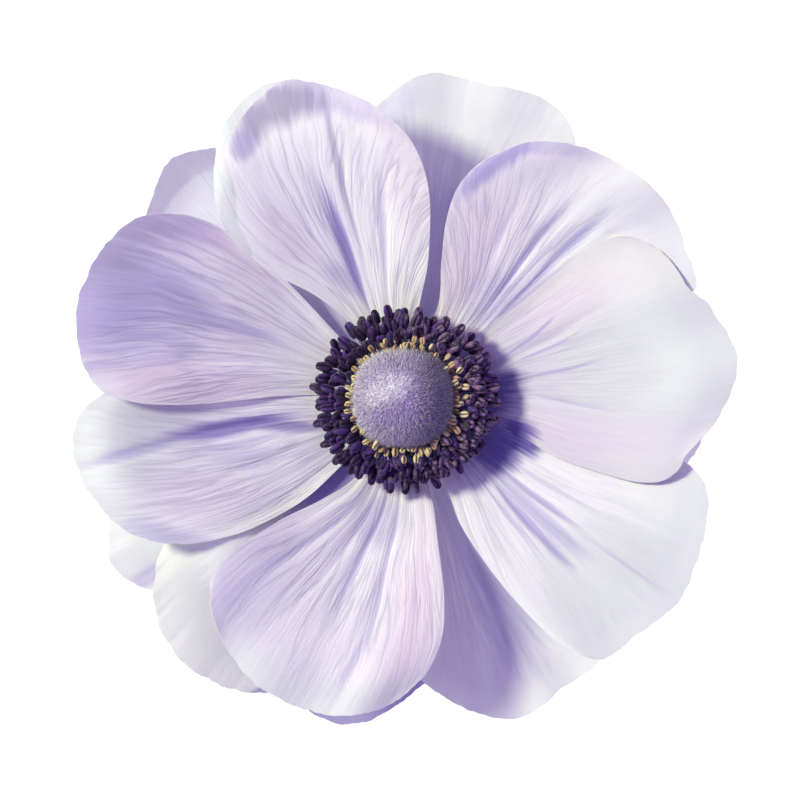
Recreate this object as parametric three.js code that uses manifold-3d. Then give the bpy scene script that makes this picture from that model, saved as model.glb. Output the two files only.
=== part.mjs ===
// An anemone flower, face up, as picked, with a short cut stub of its stem.
// Millimetres, +Z up. Azimuths are degrees anticlockwise from +X, seen from above. Radii are measured
// from the flower's axis, which stands at x = y = 0 until the whole flower is centred at the end.

import * as THREE from 'three';
import { ConvexGeometry } from 'three/addons/geometries/ConvexGeometry.js';
import { mergeVertices } from 'three/addons/utils/BufferGeometryUtils.js';
import Module from 'manifold-3d';

const wasm = await Module();
wasm.setup();

const { degToRad, smoothstep } = THREE.MathUtils;
const CLEARANCE = 0.3; // between pieces that touch on the living flower

// Stem and receptacle
const STEM_RADIUS = 2.1;
const STEM_FOOT = 0.8; // the cut end stays this far above the surface
const STEM_NECK = 4.2; // where the stem begins to widen
const RECEPTACLE_RADIUS = 2.9;
const RECEPTACLE_FLARE = 6.0; // where it reaches its full radius
const RECEPTACLE_TOP = 11.5;
const STEM_SIDES = 24;

// Tepals
const BLADE = 0.75; // thickness measured upright, so 0.6 mm or more square to the slope
const ROOT_RADIUS = RECEPTACLE_RADIUS + CLEARANCE;
const ROOT_HALF_WIDTH = 17; // degrees
const LOW_REAR_ROOT = 6.7; // heights of the blades' middles where they leave the receptacle
const HIGH_REAR_ROOT = 7.85;
const FRONT_ROOT = 9.0;
const CURVE_START = 5; // radius where a blade begins to rise or droop
const BOWL_EDGE = 40; // radius where a front blade has risen in full
const DROOP_REACH = 36; // a rear blade's droop is given this far past the start
const MARGIN_WAVE = 0.35; // height of the waves, in full from WAVE_FULL and none inside WAVE_START
const WAVE_START = 26;
const WAVE_FULL = 40;
const LIFT_START = 9; // a side's lift grows between these radii
const LIFT_FULL = 20;
const CURL_START = 32; // a front blade's tip curls down between these radii
const CURL_FULL = 41;
const FRONT_GRID = { across: 12, rows: 9 };
const REAR_GRID = { across: 10, rows: 8 };
const ROW_EASE = 1.3; // rows of the grid lie closer together near the margin
const SIDE_STEPS = 64; // points that a side is measured with

// Each tepal's outline as [azimuth, radius] points, seen from above. The left side is the
// anticlockwise one. Both sides are listed from the receptacle outwards to the shoulder, and the margin
// from the left shoulder to the right one. A front blade rises like a bowl by rise, its lifts raise or
// lower its left and right sides where a neighbour lies under or over them or the blade is cupped, and
// its tip curls down by tip. A rear blade droops by droop from its root's height.
const FRONT = {
  upper_left: {
    root: 155,
    left: [[176, 11], [179, 16], [181, 22], [181.5, 28], [180.5, 33]],
    margin: [[178, 36.8], [172, 39.5], [163, 41], [154, 40.6], [146, 38.9]],
    right: [[136.5, 11], [135.5, 17], [138, 23.5], [138.8, 29], [140.8, 34.2]],
    rise: 8.6,
    lifts: [0.9, -0.7],
    tip: -0.4,
    waves: 2,
  },
  top_left: {
    root: 104,
    left: [[126, 11], [130.5, 16.5], [135.5, 22], [136.8, 27.5], [134.5, 32]],
    margin: [[129, 36.4], [122, 40], [113, 41.4], [104, 38.9], [96.5, 35.6]],
    right: [[81, 12.5], [80.5, 17], [82.8, 24], [86, 28.6], [90.5, 32.4]],
    rise: 8.2,
    lifts: [1.0, 1.3],
    tip: 1.0,
    waves: 3,
  },
  top_right: {
    root: 54,
    left: [[70.5, 12], [75, 17], [77, 22.5], [75.5, 27], [71, 30.6]],
    margin: [[64, 34.4], [55.5, 36.9], [46, 38.6], [37, 39.3], [28.5, 38.4]],
    right: [[43, 12], [40, 17], [34, 24], [28, 30], [23.5, 35.3]],
    rise: 7.6,
    lifts: [1.3, -0.8],
    tip: 0.4,
    waves: 3,
  },
  right: {
    root: 8,
    left: [[41.2, 12], [40.5, 17.5], [40.2, 23], [39.8, 28.5], [36.5, 33]],
    margin: [[29.5, 35.7], [22, 36.6], [15, 38.8], [6.5, 40.2], [-2, 38.3], [-9.5, 35.7]],
    right: [[-17, 13.5], [-21, 19.5], [-20.5, 26], [-19.4, 30.5], [-16.5, 33.8]],
    rise: 7.6,
    lifts: [1.6, 1.5],
    tip: 0.6,
    waves: 4,
  },
  lower_right: {
    root: 316,
    left: [[-20, 12], [-18, 17], [-15.5, 23], [-13, 29], [-12.5, 34.3]],
    margin: [[-17.5, 38.2], [-27, 39.9], [-36, 40.9], [-45, 39.9], [-53, 39.1]],
    right: [[-65, 12], [-66, 17], [-63.3, 23.5], [-60.5, 29.5], [-57.5, 35]],
    rise: 7.4,
    lifts: [-0.8, 1.2],
    tip: 0.5,
    waves: 3,
  },
  bottom: {
    root: 262,
    left: [[285, 12.5], [282.8, 18], [281.3, 24], [278.5, 29.4], [273.2, 33.9]],
    margin: [[265.5, 37.4], [257.5, 39], [249, 39.2], [240, 38.3], [231, 35.8]],
    right: [[238, 11], [230, 16], [223.8, 21.5], [221.8, 27.5], [223.5, 32.2]],
    rise: 8.0,
    lifts: [1.3, 1.0],
    tip: 0.6,
    waves: 3,
  },
  lower_left: {
    root: 207,
    left: [[226.2, 12], [224.8, 17.5], [221, 23.2], [217.4, 27.6], [213, 32.2]],
    margin: [[207, 36.4], [200, 38.9], [192, 40.4], [185, 40.1], [180.3, 37.6]],
    right: [[180, 12], [179.3, 17], [178, 22.5], [177, 28], [177.3, 33.4]],
    rise: 6.6,
    lifts: [0.9, -0.8],
    tip: 2.6,
    waves: 2,
  },
};

const REAR = {
  top_left: {
    root: 136,
    left: [[148, 12], [153, 19], [157, 26.5], [156.5, 33.5]],
    margin: [[150.5, 37.6], [142.5, 39.4], [134.5, 41.1], [127, 38.7], [121, 36.6]],
    right: [[124, 12], [119, 19], [115.5, 26.5], [116, 33]],
    height: HIGH_REAR_ROOT,
    droop: 10.6,
    waves: 2,
  },
  top: {
    root: 78,
    left: [[92, 12], [96, 19], [99, 26.5], [98.5, 33]],
    margin: [[94, 36.6], [86, 39.8], [75.5, 39.7], [65.5, 40.4], [58.5, 38.8]],
    right: [[64, 12], [59, 19], [55, 26.5], [54.5, 34.8]],
    height: HIGH_REAR_ROOT,
    droop: 3.0,
    waves: 3,
  },
  right: {
    root: 7,
    left: [[21, 12], [27, 19], [31, 26.5], [31, 34.5]],
    margin: [[27, 38.9], [18, 37.4], [8, 38], [-2, 37.2], [-11, 36.1]],
    right: [[-8, 12], [-13, 19], [-16.5, 26.5], [-16, 33.5]],
    height: HIGH_REAR_ROOT,
    droop: 12.6,
    waves: 2,
  },
  lower_right: {
    root: 288,
    left: [[300, 12], [306, 19], [311, 26.5], [312, 35]],
    margin: [[307, 39.5], [299, 40.1], [290, 41.3], [282.3, 39], [275, 35.2]],
    right: [[276, 12], [271, 19], [268, 26], [269, 31.5]],
    height: HIGH_REAR_ROOT,
    droop: 2.4,
    waves: 4,
  },
  lower_left: {
    root: 230,
    left: [[242, 12], [247, 19], [250, 26.5], [250, 34.5]],
    margin: [[245, 39.5], [238.5, 41.3], [231.5, 42], [224.5, 41.2], [217, 38.3]],
    right: [[218, 12], [213, 19], [209.5, 26], [210.5, 33.3]],
    height: HIGH_REAR_ROOT,
    droop: 3.2,
    waves: 4,
  },
  bottom: {
    root: 260,
    left: [[270, 12], [275, 19], [278.5, 26], [277.5, 32.5]],
    margin: [[270.5, 36.6], [263, 39.9], [256, 40.6], [248.5, 38.4]],
    right: [[250, 12], [245, 19], [241, 26.5], [242, 34.5]],
    height: LOW_REAR_ROOT,
    droop: 9.2,
    waves: 2,
  },
  left: {
    root: 208,
    left: [[217, 12], [222, 19], [225.5, 26.5], [224, 34]],
    margin: [[217.5, 38.6], [210, 41.2], [203, 39.3], [196.5, 36.8]],
    right: [[198, 12], [193, 19], [189.5, 26], [190, 32.5]],
    height: LOW_REAR_ROOT,
    droop: 4.6,
    waves: 3,
  },
};

// Stamens: each stands straight from a ring of filament bases that sits on the receptacle
const STAMEN_SIDES = 5;
const DARK_BASES = { inner: ROOT_RADIUS, outer: 7.0, foot: 9.9, top: 10.5 };
const DARK_ROWS = [
  { count: 30, root: 6.25, tip: 9.35, height: 14.8 },
  { count: 36, root: 6.5, tip: 10.2, height: 13.9 },
  { count: 44, root: 6.75, tip: 11.1, height: 13.0 },
];
const DARK_STAMEN = { filament: 0.2, anther: 0.44, length: 1.75 };
const YELLOW_BASES = { inner: ROOT_RADIUS, outer: 5.9, foot: 10.8, top: 11.4 };
const YELLOW_ROWS = [{ count: 40, root: 5.6, tip: 7.45, height: 14.0 }];
const YELLOW_STAMEN = { filament: 0.18, anther: 0.33, length: 1.2 };
const ROOT_SINK = 0.3; // a filament starts this far inside its ring

// Dome of carpels
const CARPELS = 210;
const DOME_RADIUS = 6.35;
const DOME_MIDDLE = 14.4; // height of the widest part
const DOME_CROWN = 4.3; // from there to the top
const DOME_NECK_RADIUS = 3.6;
const DOME_REACH = degToRad(104); // the carpels run this far round from the crown
const DOME_FULLNESS = 0.9; // under 1 makes the shoulder fuller than a ball's
const CARPEL_DEPTH = 0.22;
const GOLDEN_ANGLE = Math.PI * (3 - Math.sqrt(5));

const PALE_VIOLET = new THREE.MeshStandardMaterial({ color: 0xdcd6ea, roughness: 0.8, metalness: 0 });
const DEEP_VIOLET = new THREE.MeshStandardMaterial({ color: 0xc3b8de, roughness: 0.8, metalness: 0 });
const DARK_PURPLE = new THREE.MeshStandardMaterial({ color: 0x35244a, roughness: 0.7, metalness: 0 });
const OLD_GOLD = new THREE.MeshStandardMaterial({ color: 0xcdb478, roughness: 0.7, metalness: 0 });
const MAUVE = new THREE.MeshStandardMaterial({ color: 0x8270a0, roughness: 0.9, metalness: 0 });
const STEM_GREEN = new THREE.MeshStandardMaterial({ color: 0x7d9455, roughness: 0.7, metalness: 0 });

function makeRandom(seed) {
  let state = seed;
  return () => {
    state = (state * 1664525 + 1013904223) % 4294967296;
    return state / 4294967296;
  };
}

// One node's material, name and geometry together
function makePiece(name, geometry, material) {
  const mesh = new THREE.Mesh(geometry, material);
  mesh.name = name;
  return mesh;
}

// Joins a geometry's shared vertices, with only their positions left
function weld(geometry) {
  geometry.deleteAttribute('normal');
  geometry.deleteAttribute('uv');
  return mergeVertices(geometry, 1e-4);
}

function toSolid(geometry) {
  return new wasm.Manifold(new wasm.Mesh({
    numProp: 3,
    vertProperties: geometry.getAttribute('position').array,
    triVerts: new Uint32Array(geometry.getIndex().array),
  }));
}

function toGeometry(solid) {
  const mesh = solid.getMesh();
  const geometry = new THREE.BufferGeometry();
  geometry.setAttribute('position', new THREE.BufferAttribute(mesh.vertProperties, 3));
  geometry.setIndex(new THREE.BufferAttribute(mesh.triVerts, 1));
  geometry.computeVertexNormals();
  return geometry;
}

// A solid turned about Z from [radius, height] points
function turned(profile, sides) {
  const points = profile.map(([radius, height]) => new THREE.Vector2(radius, height));
  return new THREE.LatheGeometry(points, sides).rotateX(Math.PI / 2);
}

// A flat ring that filaments grow from
function turnedRing({ inner, outer, foot, top }) {
  return turned([[inner, foot], [outer, foot], [outer, top], [inner, top], [inner, foot]], STEM_SIDES);
}

function polarPoint([azimuth, radius]) {
  return new THREE.Vector3(Math.cos(degToRad(azimuth)) * radius, Math.sin(degToRad(azimuth)) * radius, 0);
}

// Points evenly spaced by length along a stretch of a curve
function evenPoints(curve, from, to, steps) {
  const fine = [];
  for (let i = 0; i <= steps * 8; i += 1) {
    fine.push(curve.getPoint(from + ((to - from) * i) / (steps * 8)));
  }
  return new THREE.CatmullRomCurve3(fine).getSpacedPoints(steps);
}

// The tepal's plan as rows of points: across from left to right, and outwards from root to margin
function tepalPlan(tepal, { across, rows }) {
  const roots = [ROOT_HALF_WIDTH, -ROOT_HALF_WIDTH].map((turn) => [tepal.root + turn, ROOT_RADIUS]);
  const outline = [roots[0], ...tepal.left, ...tepal.margin, ...[...tepal.right].reverse(), roots[1]];
  const curve = new THREE.CatmullRomCurve3(outline.map(polarPoint), false, 'catmullrom', 0.5);
  const last = outline.length - 1;
  const leftCorner = tepal.left.length / last;
  const rightCorner = 1 - tepal.right.length / last;
  const left = evenPoints(curve, 0, leftCorner, SIDE_STEPS);
  const margin = evenPoints(curve, leftCorner, rightCorner, across);
  const right = evenPoints(curve, 1, rightCorner, SIDE_STEPS);
  const plan = [];
  for (let j = 0; j <= rows; j += 1) {
    const v = 1 - (1 - j / rows) ** ROW_EASE;
    const row = [];
    for (let i = 0; i <= across; i += 1) {
      const u = i / across;
      const root = polarPoint([tepal.root + ROOT_HALF_WIDTH * (1 - 2 * u), ROOT_RADIUS]);
      const sides = pointAt(left, v).multiplyScalar(1 - u).addScaledVector(pointAt(right, v), u);
      const ends = root.multiplyScalar(1 - v).addScaledVector(margin[i], v);
      const corners = left[0].clone().multiplyScalar((1 - u) * (1 - v))
        .addScaledVector(right[0], u * (1 - v))
        .addScaledVector(left[SIDE_STEPS], (1 - u) * v)
        .addScaledVector(right[SIDE_STEPS], u * v);
      row.push({ u, point: sides.add(ends).sub(corners) });
    }
    plan.push(row);
  }
  return plan;
}

function pointAt(points, share) {
  const place = share * (points.length - 1);
  const first = Math.min(Math.floor(place), points.length - 2);
  return points[first].clone().lerp(points[first + 1], place - first);
}

// How far a side's lift is felt: all of it at the side, none at the middle
function sideLift(u, radius, [left, right]) {
  const across = left * smoothstep(0.5 - u, 0, 0.5) + right * smoothstep(u - 0.5, 0, 0.5);
  return across * smoothstep(radius, LIFT_START, LIFT_FULL);
}

function marginWave(u, radius, waves) {
  return MARGIN_WAVE * smoothstep(radius, WAVE_START, WAVE_FULL) * Math.sin(2 * Math.PI * waves * u + waves);
}

function frontHeight(tepal, u, radius) {
  const bowl = tepal.rise * smoothstep(radius, CURVE_START, BOWL_EDGE);
  const curl = tepal.tip * smoothstep(radius, CURL_START, CURL_FULL) ** 2;
  return FRONT_ROOT + bowl - curl + sideLift(u, radius, tepal.lifts) + marginWave(u, radius, tepal.waves);
}

// A rear tepal droops, and its tip lies flat where it meets the surface
function rearHeight(tepal, u, radius) {
  const out = Math.max(0, (radius - CURVE_START) / DROOP_REACH);
  const height = tepal.height - tepal.droop * out ** 3 + marginWave(u, radius, tepal.waves);
  return Math.max(height, BLADE / 2);
}

// A closed blade over a plan, split into triangles alike on both faces
function blade(plan, heightOf) {
  const across = plan[0].length;
  const rows = plan.length;
  const positions = [];
  [BLADE / 2, -BLADE / 2].forEach((offset) => {
    plan.flat().forEach(({ u, point }) => {
      const radius = Math.hypot(point.x, point.y);
      positions.push(point.x, point.y, heightOf(u, radius) + offset);
    });
  });
  const under = across * rows;
  const faces = [];
  for (let j = 0; j < rows - 1; j += 1) {
    for (let i = 0; i < across - 1; i += 1) {
      const a = j * across + i;
      const b = a + 1;
      const c = b + across;
      const d = a + across;
      faces.push([a, b, c], [a, c, d]);
      faces.push([a + under, c + under, b + under], [a + under, d + under, c + under]);
    }
  }
  rim(across, rows).forEach((p, k, loop) => {
    const q = loop[(k + 1) % loop.length];
    faces.push([p + under, q + under, q], [p + under, q, p]);
  });
  const geometry = new THREE.BufferGeometry();
  geometry.setAttribute('position', new THREE.Float32BufferAttribute(positions, 3));
  geometry.setIndex(faces.flat());
  geometry.computeVertexNormals();
  return geometry;
}

// A grid's outer points in order, anticlockwise from above
function rim(across, rows) {
  const loop = [];
  for (let i = 0; i < across - 1; i += 1) loop.push(i);
  for (let j = 0; j < rows - 1; j += 1) loop.push(j * across + across - 1);
  for (let i = across - 1; i > 0; i -= 1) loop.push((rows - 1) * across + i);
  for (let j = rows - 1; j > 0; j -= 1) loop.push(j * across);
  return loop;
}

function makeFrontTepal(name, tepal) {
  const shape = blade(tepalPlan(tepal, FRONT_GRID), (u, radius) => frontHeight(tepal, u, radius));
  return makePiece(`front_tepal_${name}`, shape, PALE_VIOLET);
}

function makeRearTepal(name, tepal) {
  const shape = blade(tepalPlan(tepal, REAR_GRID), (u, radius) => rearHeight(tepal, u, radius));
  return makePiece(`rear_tepal_${name}`, shape, DEEP_VIOLET);
}

function makeStem() {
  const profile = [
    [0, STEM_FOOT],
    [STEM_RADIUS, STEM_FOOT],
    [STEM_RADIUS, STEM_NECK],
    [RECEPTACLE_RADIUS, RECEPTACLE_FLARE],
    [RECEPTACLE_RADIUS, RECEPTACLE_TOP],
    [0, RECEPTACLE_TOP],
  ];
  return makePiece('stem_and_receptacle', weld(turned(profile, STEM_SIDES)), STEM_GREEN);
}

// One straight stamen from its root to its tip, fattest in the middle of the anther
function stamen({ filament, anther, length }, from, to) {
  const reach = from.distanceTo(to);
  const neck = reach - length;
  const profile = [[0, 0], [filament, 0], [filament * 0.8, neck], [anther, neck + length * 0.3],
    [anther * 0.85, neck + length * 0.75], [0, reach]];
  const outline = profile.map(([radius, along]) => new THREE.Vector2(radius, along));
  const shape = weld(new THREE.LatheGeometry(outline, STAMEN_SIDES));
  const turn = new THREE.Quaternion().setFromUnitVectors(
    new THREE.Vector3(0, 1, 0),
    to.clone().sub(from).normalize(),
  );
  return shape.applyQuaternion(turn).translate(from.x, from.y, from.z);
}

function makeStamens(name, bases, rows, shape, material, seed) {
  const random = makeRandom(seed);
  const jitter = (size) => (random() - 0.5) * size;
  const solids = [toSolid(weld(turnedRing(bases)))];
  rows.forEach(({ count, root, tip, height }, row) => {
    for (let i = 0; i < count; i += 1) {
      const step = 360 / count;
      const azimuth = (i + row / 2) * step + jitter(step * 0.35);
      const from = polarPoint([azimuth + jitter(step * 0.2), root]);
      from.z = bases.top - ROOT_SINK;
      const to = polarPoint([azimuth, tip + jitter(0.3)]);
      to.z = height + jitter(0.5);
      solids.push(toSolid(stamen(shape, from, to)));
    }
  });
  return makePiece(name, toGeometry(wasm.Manifold.union(solids)), material);
}

// The dome's outside at a share of its surface: 0 at the crown, 1 just under the widest part
function domePoint(share, azimuth) {
  const polar = share * DOME_REACH;
  const radius = DOME_RADIUS * Math.sin(polar) ** DOME_FULLNESS;
  const height = DOME_MIDDLE + DOME_CROWN * Math.cos(polar);
  return new THREE.Vector3(Math.cos(azimuth) * radius, Math.sin(azimuth) * radius, height);
}

// Carpels set by the golden angle: each is a peak, and every triangle between three peaks is a pit
function makeDome() {
  const peaks = [];
  for (let i = 0; i < CARPELS; i += 1) {
    peaks.push(domePoint(Math.sqrt((i + 0.3) / CARPELS), i * GOLDEN_ANGLE));
  }
  const neck = RECEPTACLE_TOP + CLEARANCE;
  for (let i = 0; i < STEM_SIDES; i += 1) {
    const azimuth = (2 * Math.PI * i) / STEM_SIDES;
    peaks.push(new THREE.Vector3(
      Math.cos(azimuth) * DOME_NECK_RADIUS,
      Math.sin(azimuth) * DOME_NECK_RADIUS,
      neck,
    ));
  }
  const hull = weld(new ConvexGeometry(peaks));
  const corners = hull.getAttribute('position');
  const triangles = hull.getIndex().array;
  const positions = Array.from(corners.array);
  const faces = [];
  for (let t = 0; t < triangles.length; t += 3) {
    const [a, b, c] = triangles.slice(t, t + 3);
    const face = new THREE.Triangle().setFromAttributeAndIndices(corners, a, b, c);
    const pit = face.getMidpoint(new THREE.Vector3());
    if (pit.z < DOME_MIDDLE - 1) {
      faces.push([a, b, c]);
    } else {
      pit.addScaledVector(face.getNormal(new THREE.Vector3()), -CARPEL_DEPTH);
      const d = positions.push(pit.x, pit.y, pit.z) / 3 - 1;
      faces.push([a, b, d], [b, c, d], [c, a, d]);
    }
  }
  const geometry = new THREE.BufferGeometry();
  geometry.setAttribute('position', new THREE.Float32BufferAttribute(positions, 3));
  geometry.setIndex(faces.flat());
  geometry.computeVertexNormals();
  return makePiece('pistil_dome', geometry, MAUVE);
}

const flower = new THREE.Group();
Object.entries(FRONT).forEach(([name, tepal]) => flower.add(makeFrontTepal(name, tepal)));
Object.entries(REAR).forEach(([name, tepal]) => flower.add(makeRearTepal(name, tepal)));
flower.add(
  makeStem(),
  makeStamens('dark_stamens', DARK_BASES, DARK_ROWS, DARK_STAMEN, DARK_PURPLE, 7),
  makeStamens('yellow_stamens', YELLOW_BASES, YELLOW_ROWS, YELLOW_STAMEN, OLD_GOLD, 19),
  makeDome(),
);

// The origin is the middle of the flower's foot: the centre of its box, on the surface it rests on
const box = new THREE.Box3().setFromObject(flower);
const centre = box.getCenter(new THREE.Vector3());
flower.position.set(-centre.x, -centre.y, -box.min.z);
flower.updateMatrixWorld(true);

export default flower;
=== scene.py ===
import math
import random

import bpy
import numpy as np
from mathutils import Matrix, Vector
from mathutils.noise import noise


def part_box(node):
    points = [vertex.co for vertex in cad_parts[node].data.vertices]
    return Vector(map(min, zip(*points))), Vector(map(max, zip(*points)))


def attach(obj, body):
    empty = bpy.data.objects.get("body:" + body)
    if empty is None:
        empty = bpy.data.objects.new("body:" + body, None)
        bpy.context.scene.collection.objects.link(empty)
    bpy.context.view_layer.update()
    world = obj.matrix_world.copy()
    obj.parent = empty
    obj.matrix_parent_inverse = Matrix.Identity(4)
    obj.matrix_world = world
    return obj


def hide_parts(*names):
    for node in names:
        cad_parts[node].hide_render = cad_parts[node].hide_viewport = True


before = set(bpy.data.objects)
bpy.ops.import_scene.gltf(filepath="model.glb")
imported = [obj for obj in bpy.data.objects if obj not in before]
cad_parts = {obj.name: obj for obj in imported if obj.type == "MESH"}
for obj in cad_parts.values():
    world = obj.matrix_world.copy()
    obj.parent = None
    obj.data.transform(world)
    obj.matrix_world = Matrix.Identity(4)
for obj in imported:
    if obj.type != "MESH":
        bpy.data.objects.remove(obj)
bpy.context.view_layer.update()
bpy.ops.object.select_all(action="DESELECT")

# Stem and receptacle
# A round green stalk, cut off short below and covered in fine down. It widens into the receptacle,
# the firm core that the tepals, stamens and pistil head all grow from.
MM = 0.001  # all sizes are millimetres from the surface and from the flower's upright axis
stem_low, stem_high = (Vector(corner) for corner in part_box("stem_and_receptacle"))
AXIS = ((stem_low + stem_high) / 2).to_2d()
STEM_PROFILE = [  # radius, height
    (1.9, 0.8), (2.1, 1.0), (2.1, 4.2), (2.4, 5.2), (2.9, 6.3), (2.9, 11.3), (2.7, 11.5),
]
STEM_SIDES = 48
STEM_HAIRS = 900
STEM_HAIR_SPAN = (1.0, 6.0)
STEM_HAIR_SINK = 0.05


def place(x, y, height):
    """A point in millimetres about the axis, as a point of the scene."""
    return Vector((AXIS.x + x * MM, AXIS.y + y * MM, height * MM))


def settled(points):
    """The same for an array of points."""
    return np.asarray(points) * MM + np.array([AXIS.x, AXIS.y, 0])


def paint(red, green, blue):
    """A colour given as it looks on screen, from 0 to 255, as the shader's linear light."""
    shares = (red / 255, green / 255, blue / 255)
    return tuple(c / 12.92 if c <= 0.04045 else ((c + 0.055) / 1.055) ** 2.4 for c in shares)


class Shade:
    """A number that changes over a surface. Sums with it add Math nodes to its finish."""

    def __init__(self, finish, socket):
        self.finish = finish
        self.socket = socket

    def __add__(self, other):
        return self.finish.math("ADD", self, other)

    def __sub__(self, other):
        return self.finish.math("SUBTRACT", self, other)

    def __rsub__(self, other):
        return self.finish.math("SUBTRACT", other, self)

    def __mul__(self, other):
        return self.finish.math("MULTIPLY", self, other)

    __radd__ = __add__
    __rmul__ = __mul__


class Finish:
    """One material, with methods that add its nodes."""

    def __init__(self, name):
        self.material = bpy.data.materials.new(name)
        self.material.use_nodes = True
        self.tree = self.material.node_tree
        self.shader = self.tree.nodes["Principled BSDF"]

    def node(self, kind, settings=None, output=0, **inputs):
        """Adds a node, sets it up, then fills its sockets by name, or by number as _0, _1 and so on."""
        made = self.tree.nodes.new("ShaderNode" + kind)
        for name, value in (settings or {}).items():
            setattr(made, name, value)
        for name, value in inputs.items():
            key = int(name[1:]) if name[1:].isdigit() else name.replace("_", " ")
            self.fill(made.inputs[key], value)
        return Shade(self, made.outputs[output])

    def fill(self, socket, value):
        if isinstance(value, Shade):
            self.tree.links.new(value.socket, socket)
        elif isinstance(value, tuple) and socket.type == "RGBA":
            socket.default_value = (*value, 1)
        else:
            socket.default_value = value

    def wear(self, **values):
        """Fills the shader's own sockets."""
        for name, value in values.items():
            self.fill(self.shader.inputs[name.replace("_", " ")], value)

    def math(self, operation, *values):
        numbered = {f"_{k}": value for k, value in enumerate(values)}
        return self.node("Math", {"operation": operation}, **numbered)

    def parts(self, vector):
        """The first two parts of a vector."""
        return (self.node("SeparateXYZ", output=k, Vector=vector) for k in (0, 1))

    def point(self, x, y, z):
        return self.node("CombineXYZ", X=x, Y=y, Z=z)

    def ease(self, value, low, high):
        """0 below low and 1 above high, or the other way round where low is the larger."""
        if low > high:
            return 1 - self.ease(value, high, low)
        settings = {"interpolation_type": "SMOOTHSTEP"}
        return self.node("MapRange", settings, Value=value, From_Min=low, From_Max=high)

    def mix(self, share, first, second):
        """A colour between two colours."""
        return self.node("Mix", {"data_type": "RGBA"}, 2, _0=share, _6=first, _7=second)

    def noise(self, point, scale=1.0, detail=2.0, roughness=0.5):
        return self.node("TexNoise", Vector=point, Scale=scale, Detail=detail, Roughness=roughness)

    def ridges(self, value, half_width):
        """1 where a value passes through 0.5, and 0 where it is further from that than half_width."""
        return self.ease(self.math("ABSOLUTE", value - 0.5), half_width, 0.0)

    def oval(self, point, across, along, half_width, half_length, turn):
        """How far a point is from the middle of an oval, as a share of the way to its edge."""
        centred = self.node("Mapping", {"vector_type": "TEXTURE"}, Vector=point,
                            Location=(across, along, 0), Rotation=(0, 0, math.radians(turn)),
                            Scale=(half_width, half_length, 1))
        return self.node("VectorMath", {"operation": "LENGTH"}, 1, _0=centred)

    def bump(self, height, strength, depth):
        return self.node("Bump", Height=height, Strength=strength, Distance=depth * MM)


class Model:
    """A small shape, kept to be copied: its points in millimetres, its faces, and a level from 0 to 1
    for each point, which is its height unless it is given."""

    def __init__(self, piece, levels=None):
        self.points = np.array([vertex.co for vertex in piece.data.vertices])
        self.faces = [tuple(face.vertices) for face in piece.data.polygons]
        self.levels = levels
        if levels is None:
            heights = self.points[:, 2]
            self.levels = (heights - heights.min()) / np.ptp(heights)
        bpy.data.objects.remove(piece)


class Cluster:
    """Gathers copies in one mesh. Its UV holds each copy's own number and each point's level."""

    def __init__(self):
        self.points, self.faces, self.numbers, self.slots = [], [], [], []
        self.count = 0

    def add(self, model, points, own, slot=0):
        self.points.append(points)
        self.faces.extend(tuple(corner + self.count for corner in face) for face in model.faces)
        self.numbers.append(np.column_stack([np.full(len(points), own), model.levels]))
        self.slots.extend([slot] * len(model.faces))
        self.count += len(points)

    def seat(self, model, foot, along, size, own, roll=0.0, slot=0):
        """Adds a copy with its Z turned to a direction and its origin at a point."""
        turn = Vector((0, 0, 1)).rotation_difference(along).to_matrix() @ Matrix.Rotation(roll, 3, "Z")
        self.add(model, settled(model.points @ np.array(turn).T * size + np.array(foot)), own, slot)

    def piece(self, name, *materials):
        mesh = bpy.data.meshes.new(name)
        mesh.from_pydata(np.vstack(self.points).tolist(), [], self.faces)
        mesh.polygons.foreach_set("material_index", self.slots)
        mesh.polygons.foreach_set("use_smooth", [True] * len(self.faces))
        corners = np.empty(len(mesh.loops), int)
        mesh.loops.foreach_get("vertex_index", corners)
        mesh.uv_layers.new(name="UVMap").data.foreach_set("uv", np.vstack(self.numbers)[corners].ravel())
        for material in materials:
            mesh.materials.append(material)
        piece = bpy.data.objects.new(name, mesh)
        bpy.context.collection.objects.link(piece)
        return piece


def turned(profile, sides):
    """A round solid, drawn up ring by ring from a disc; it stands at the origin, in millimetres."""
    radius, height = profile[0]
    bpy.ops.mesh.primitive_circle_add(vertices=sides, radius=radius, fill_type="NGON",
                                      location=(0, 0, height))
    bpy.ops.object.transform_apply(location=True)
    bpy.ops.object.mode_set(mode="EDIT")
    bpy.ops.mesh.select_all(action="SELECT")
    for (below, low), (above, high) in zip(profile, profile[1:]):
        bpy.ops.mesh.extrude_region_move(TRANSFORM_OT_translate={"value": (0, 0, high - low)})
        bpy.ops.transform.resize(value=(above / below, above / below, 1), center_override=(0, 0, high))
    bpy.ops.mesh.select_all(action="SELECT")
    bpy.ops.mesh.normals_make_consistent(inside=False)
    bpy.ops.object.mode_set(mode="OBJECT")
    return bpy.context.object


def hair_model(radius, length):
    """A straight three-sided hair that tapers to a point."""
    bpy.ops.mesh.primitive_cone_add(vertices=3, radius1=radius, radius2=0, depth=length,
                                    location=(0, 0, length / 2))
    bpy.ops.object.transform_apply(location=True)
    return Model(bpy.context.object)


def stem_finish():
    """Green skin with fine upright ribs, and mottled in dull mauve."""
    finish = Finish("stem_finish")
    here = finish.node("TexCoord", output=3)
    ribs = finish.noise(finish.node("Mapping", Vector=here, Scale=(1400, 1400, 120)), 1.0, 3.0)
    mottle = finish.noise(here, 900, 3.0)
    colour = finish.mix(ribs, paint(98, 122, 66), paint(150, 164, 100))
    colour = finish.mix(finish.ease(mottle, 0.45, 0.8) * 0.5, colour, paint(124, 98, 112))
    finish.wear(Base_Color=colour, Roughness=0.5 + mottle * 0.25, Normal=finish.bump(ribs, 0.4, 0.2))
    return finish.material


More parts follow.
